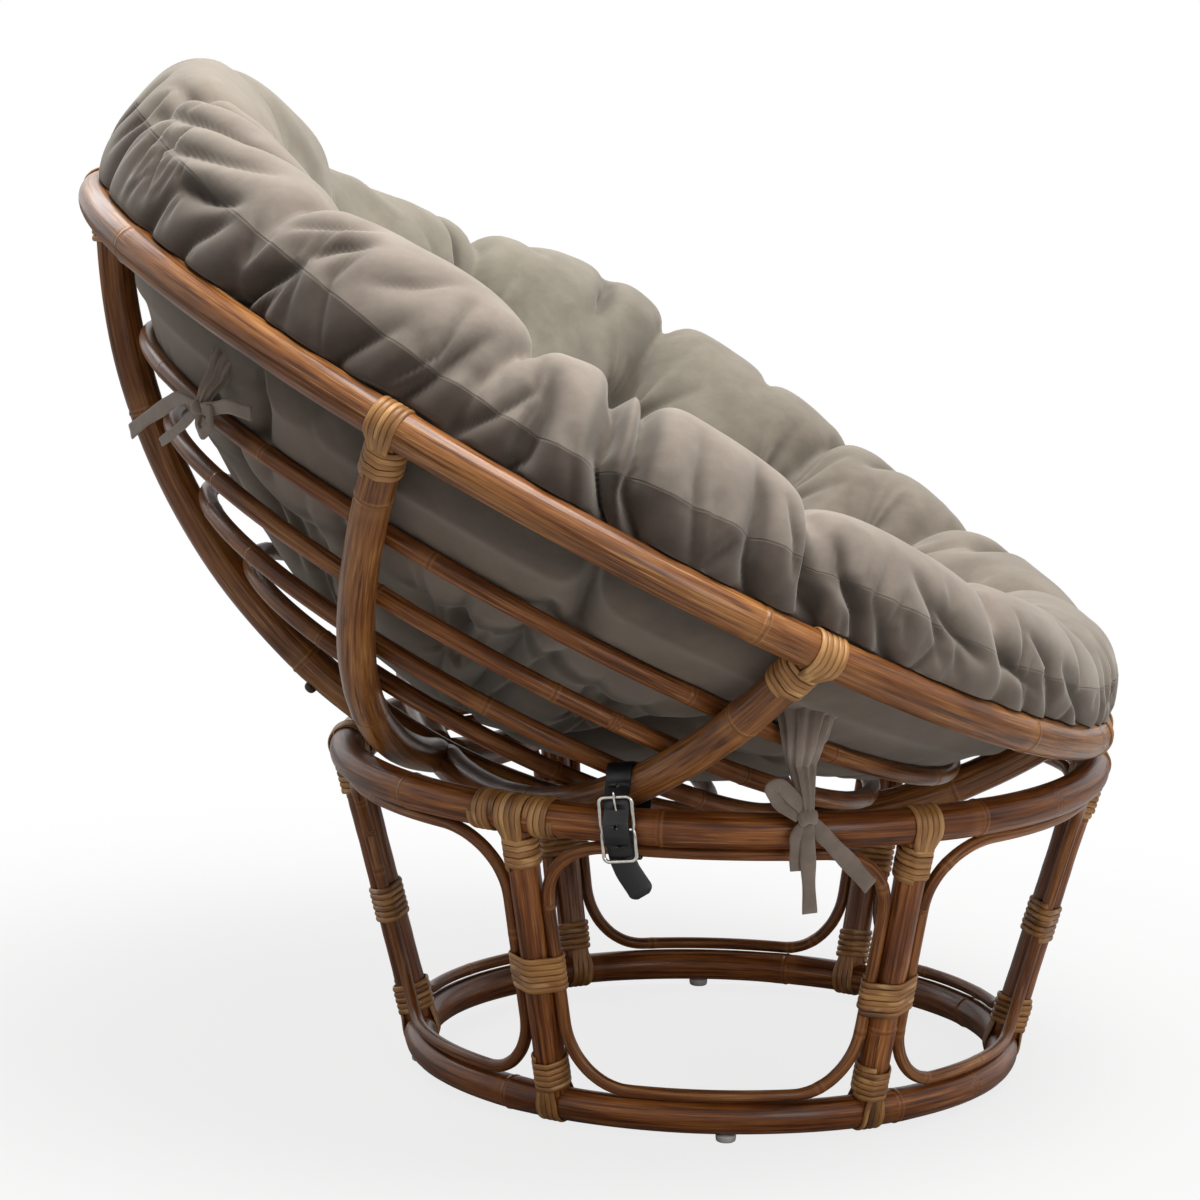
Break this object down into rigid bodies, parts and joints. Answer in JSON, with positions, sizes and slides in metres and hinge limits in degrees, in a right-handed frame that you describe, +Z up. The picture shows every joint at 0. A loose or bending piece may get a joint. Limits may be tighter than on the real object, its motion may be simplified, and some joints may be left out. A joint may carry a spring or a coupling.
{
  "type": "papasan chair",
  "caption": "Round lounge chair: a tilting bowl of bent rattan poles with a tufted velvet cushion, strapped onto a flared ring base with open windows.",
  "frame": {"origin": "on the floor under the middle of the whole chair's bounding box", "axes": "+Z up; the sitter faces -Y; the strap and the tied side are at -X"},
  "size_m": [1.0956, 0.9896, 0.9596],
  "materials": {
    "rattan": "stained and varnished pole rattan",
    "binding": "varnished half-round rattan strand",
    "velvet": "taupe velvet",
    "strap": "smooth black leather",
    "buckle": "polished nickel wire",
    "glide": "pale plastic",
    "bumper": "dark rubber"
  },
  "bodies": {
    "base": {"base_top_ring": "rattan", "base_bottom_ring": "rattan", "base_strut_0": "rattan", "base_strut_1": "rattan", "base_strut_2": "rattan", "base_strut_3": "rattan", "base_strut_4": "rattan", "base_strut_5": "rattan", "base_window_rod_0": "rattan", "base_window_rod_1": "rattan", "base_window_rod_2": "rattan", "base_window_rod_3": "rattan", "base_window_rod_4": "rattan", "base_window_rod_5": "rattan", "base_top_binding_0": "binding", "base_top_binding_1": "binding", "base_top_binding_2": "binding", "base_top_binding_3": "binding", "base_top_binding_4": "binding", "base_top_binding_5": "binding", "base_waist_binding_0": "binding", "base_waist_binding_1": "binding", "base_waist_binding_2": "binding", "base_waist_binding_3": "binding", "base_waist_binding_4": "binding", "base_waist_binding_5": "binding", "base_foot_binding_0": "binding", "base_foot_binding_1": "binding", "base_foot_binding_2": "binding", "base_foot_binding_3": "binding", "base_foot_binding_4": "binding", "base_foot_binding_5": "binding", "base_glide_0": "glide", "base_glide_1": "glide", "base_glide_2": "glide", "base_glide_3": "glide"},
    "strap": {"strap": "strap", "buckle_frame": "buckle"},
    "prong": {"buckle_prong": "buckle"},
    "bowl": {"bowl_rim": "rattan", "bowl_rim_band": "binding", "bowl_centre_pole": "rattan", "bowl_rib_front_left": "rattan", "bowl_rib_back_left": "rattan", "bowl_rib_front_right": "rattan", "bowl_rib_back_right": "rattan", "bowl_hoop_0": "rattan", "bowl_hoop_1": "rattan", "bowl_hoop_2": "rattan", "bowl_hoop_3": "rattan", "bowl_binding_front": "binding", "bowl_binding_front_left": "binding", "bowl_binding_back_left": "binding", "bowl_binding_back": "binding", "bowl_binding_back_right": "binding", "bowl_binding_front_right": "binding", "bowl_bumper": "bumper", "cushion": "velvet", "cushion_tie_front": "velvet", "cushion_tie_rear": "velvet"}
  },
  "joints": [
    {"name": "bowl_swivel", "type": "hinge", "parent": "base", "child": "strap", "pos_m": [0, -0.11655, 0.3022], "axis": [0, 0, 1], "range_deg": [0, 25], "deforming": ["strap", "cushion_tie_front", "cushion_tie_rear"]},
    {"name": "bowl_tilt", "type": "hinge", "parent": "strap", "child": "bowl", "pos_m": [0, -0.11655, 0.81526], "axis": [1, 0, 0], "range_deg": [-27, 0], "deforming": ["strap", "cushion_tie_front", "cushion_tie_rear", "bowl_bumper"]},
    {"name": "buckle_prong", "type": "hinge", "parent": "strap", "child": "prong", "pos_m": [-0.36691, -0.02914, 0.3022], "axis": [-0.23, -0.9655, 0.1219], "range_deg": [0, 35]}
  ]
}
